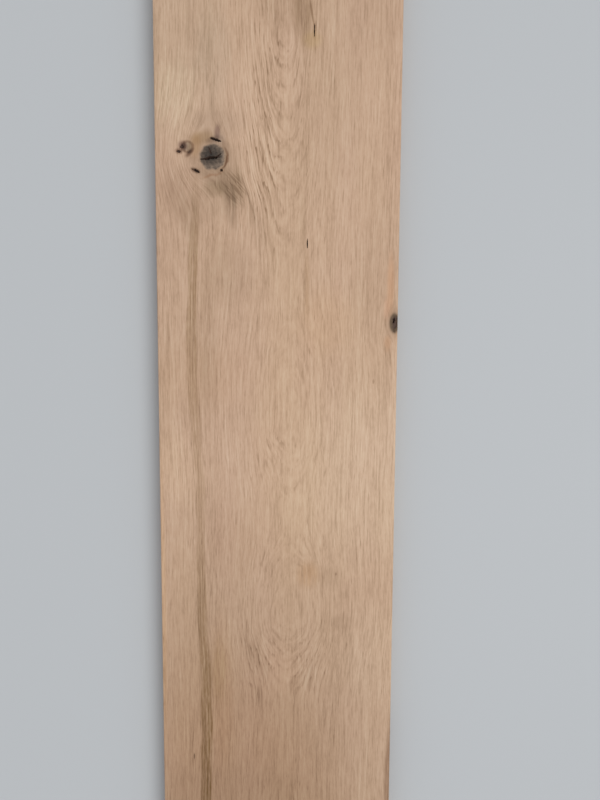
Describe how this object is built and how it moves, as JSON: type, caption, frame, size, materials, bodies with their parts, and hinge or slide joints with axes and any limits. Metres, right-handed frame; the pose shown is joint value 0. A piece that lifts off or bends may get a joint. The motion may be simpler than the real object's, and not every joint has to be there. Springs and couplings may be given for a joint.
{
  "type": "wide plank floorboard",
  "caption": "Solid wide plank floorboard in knotty light oak, square edged with eased face arrises, open slits round a knot, a rotten edge knot and short drying checks.",
  "frame": {"origin": "middle of the underside, halfway along the board and across it", "axes": "+X across the board, +Y along its length and grain, +Z out of its face, up"},
  "size_m": [0.22, 2.2, 0.02],
  "materials": {
    "knotty_oak": "matt, raw look, brushed along the grain"
  },
  "bodies": {
    "root": {"floorboard": "knotty_oak"}
  },
  "joints": []
}
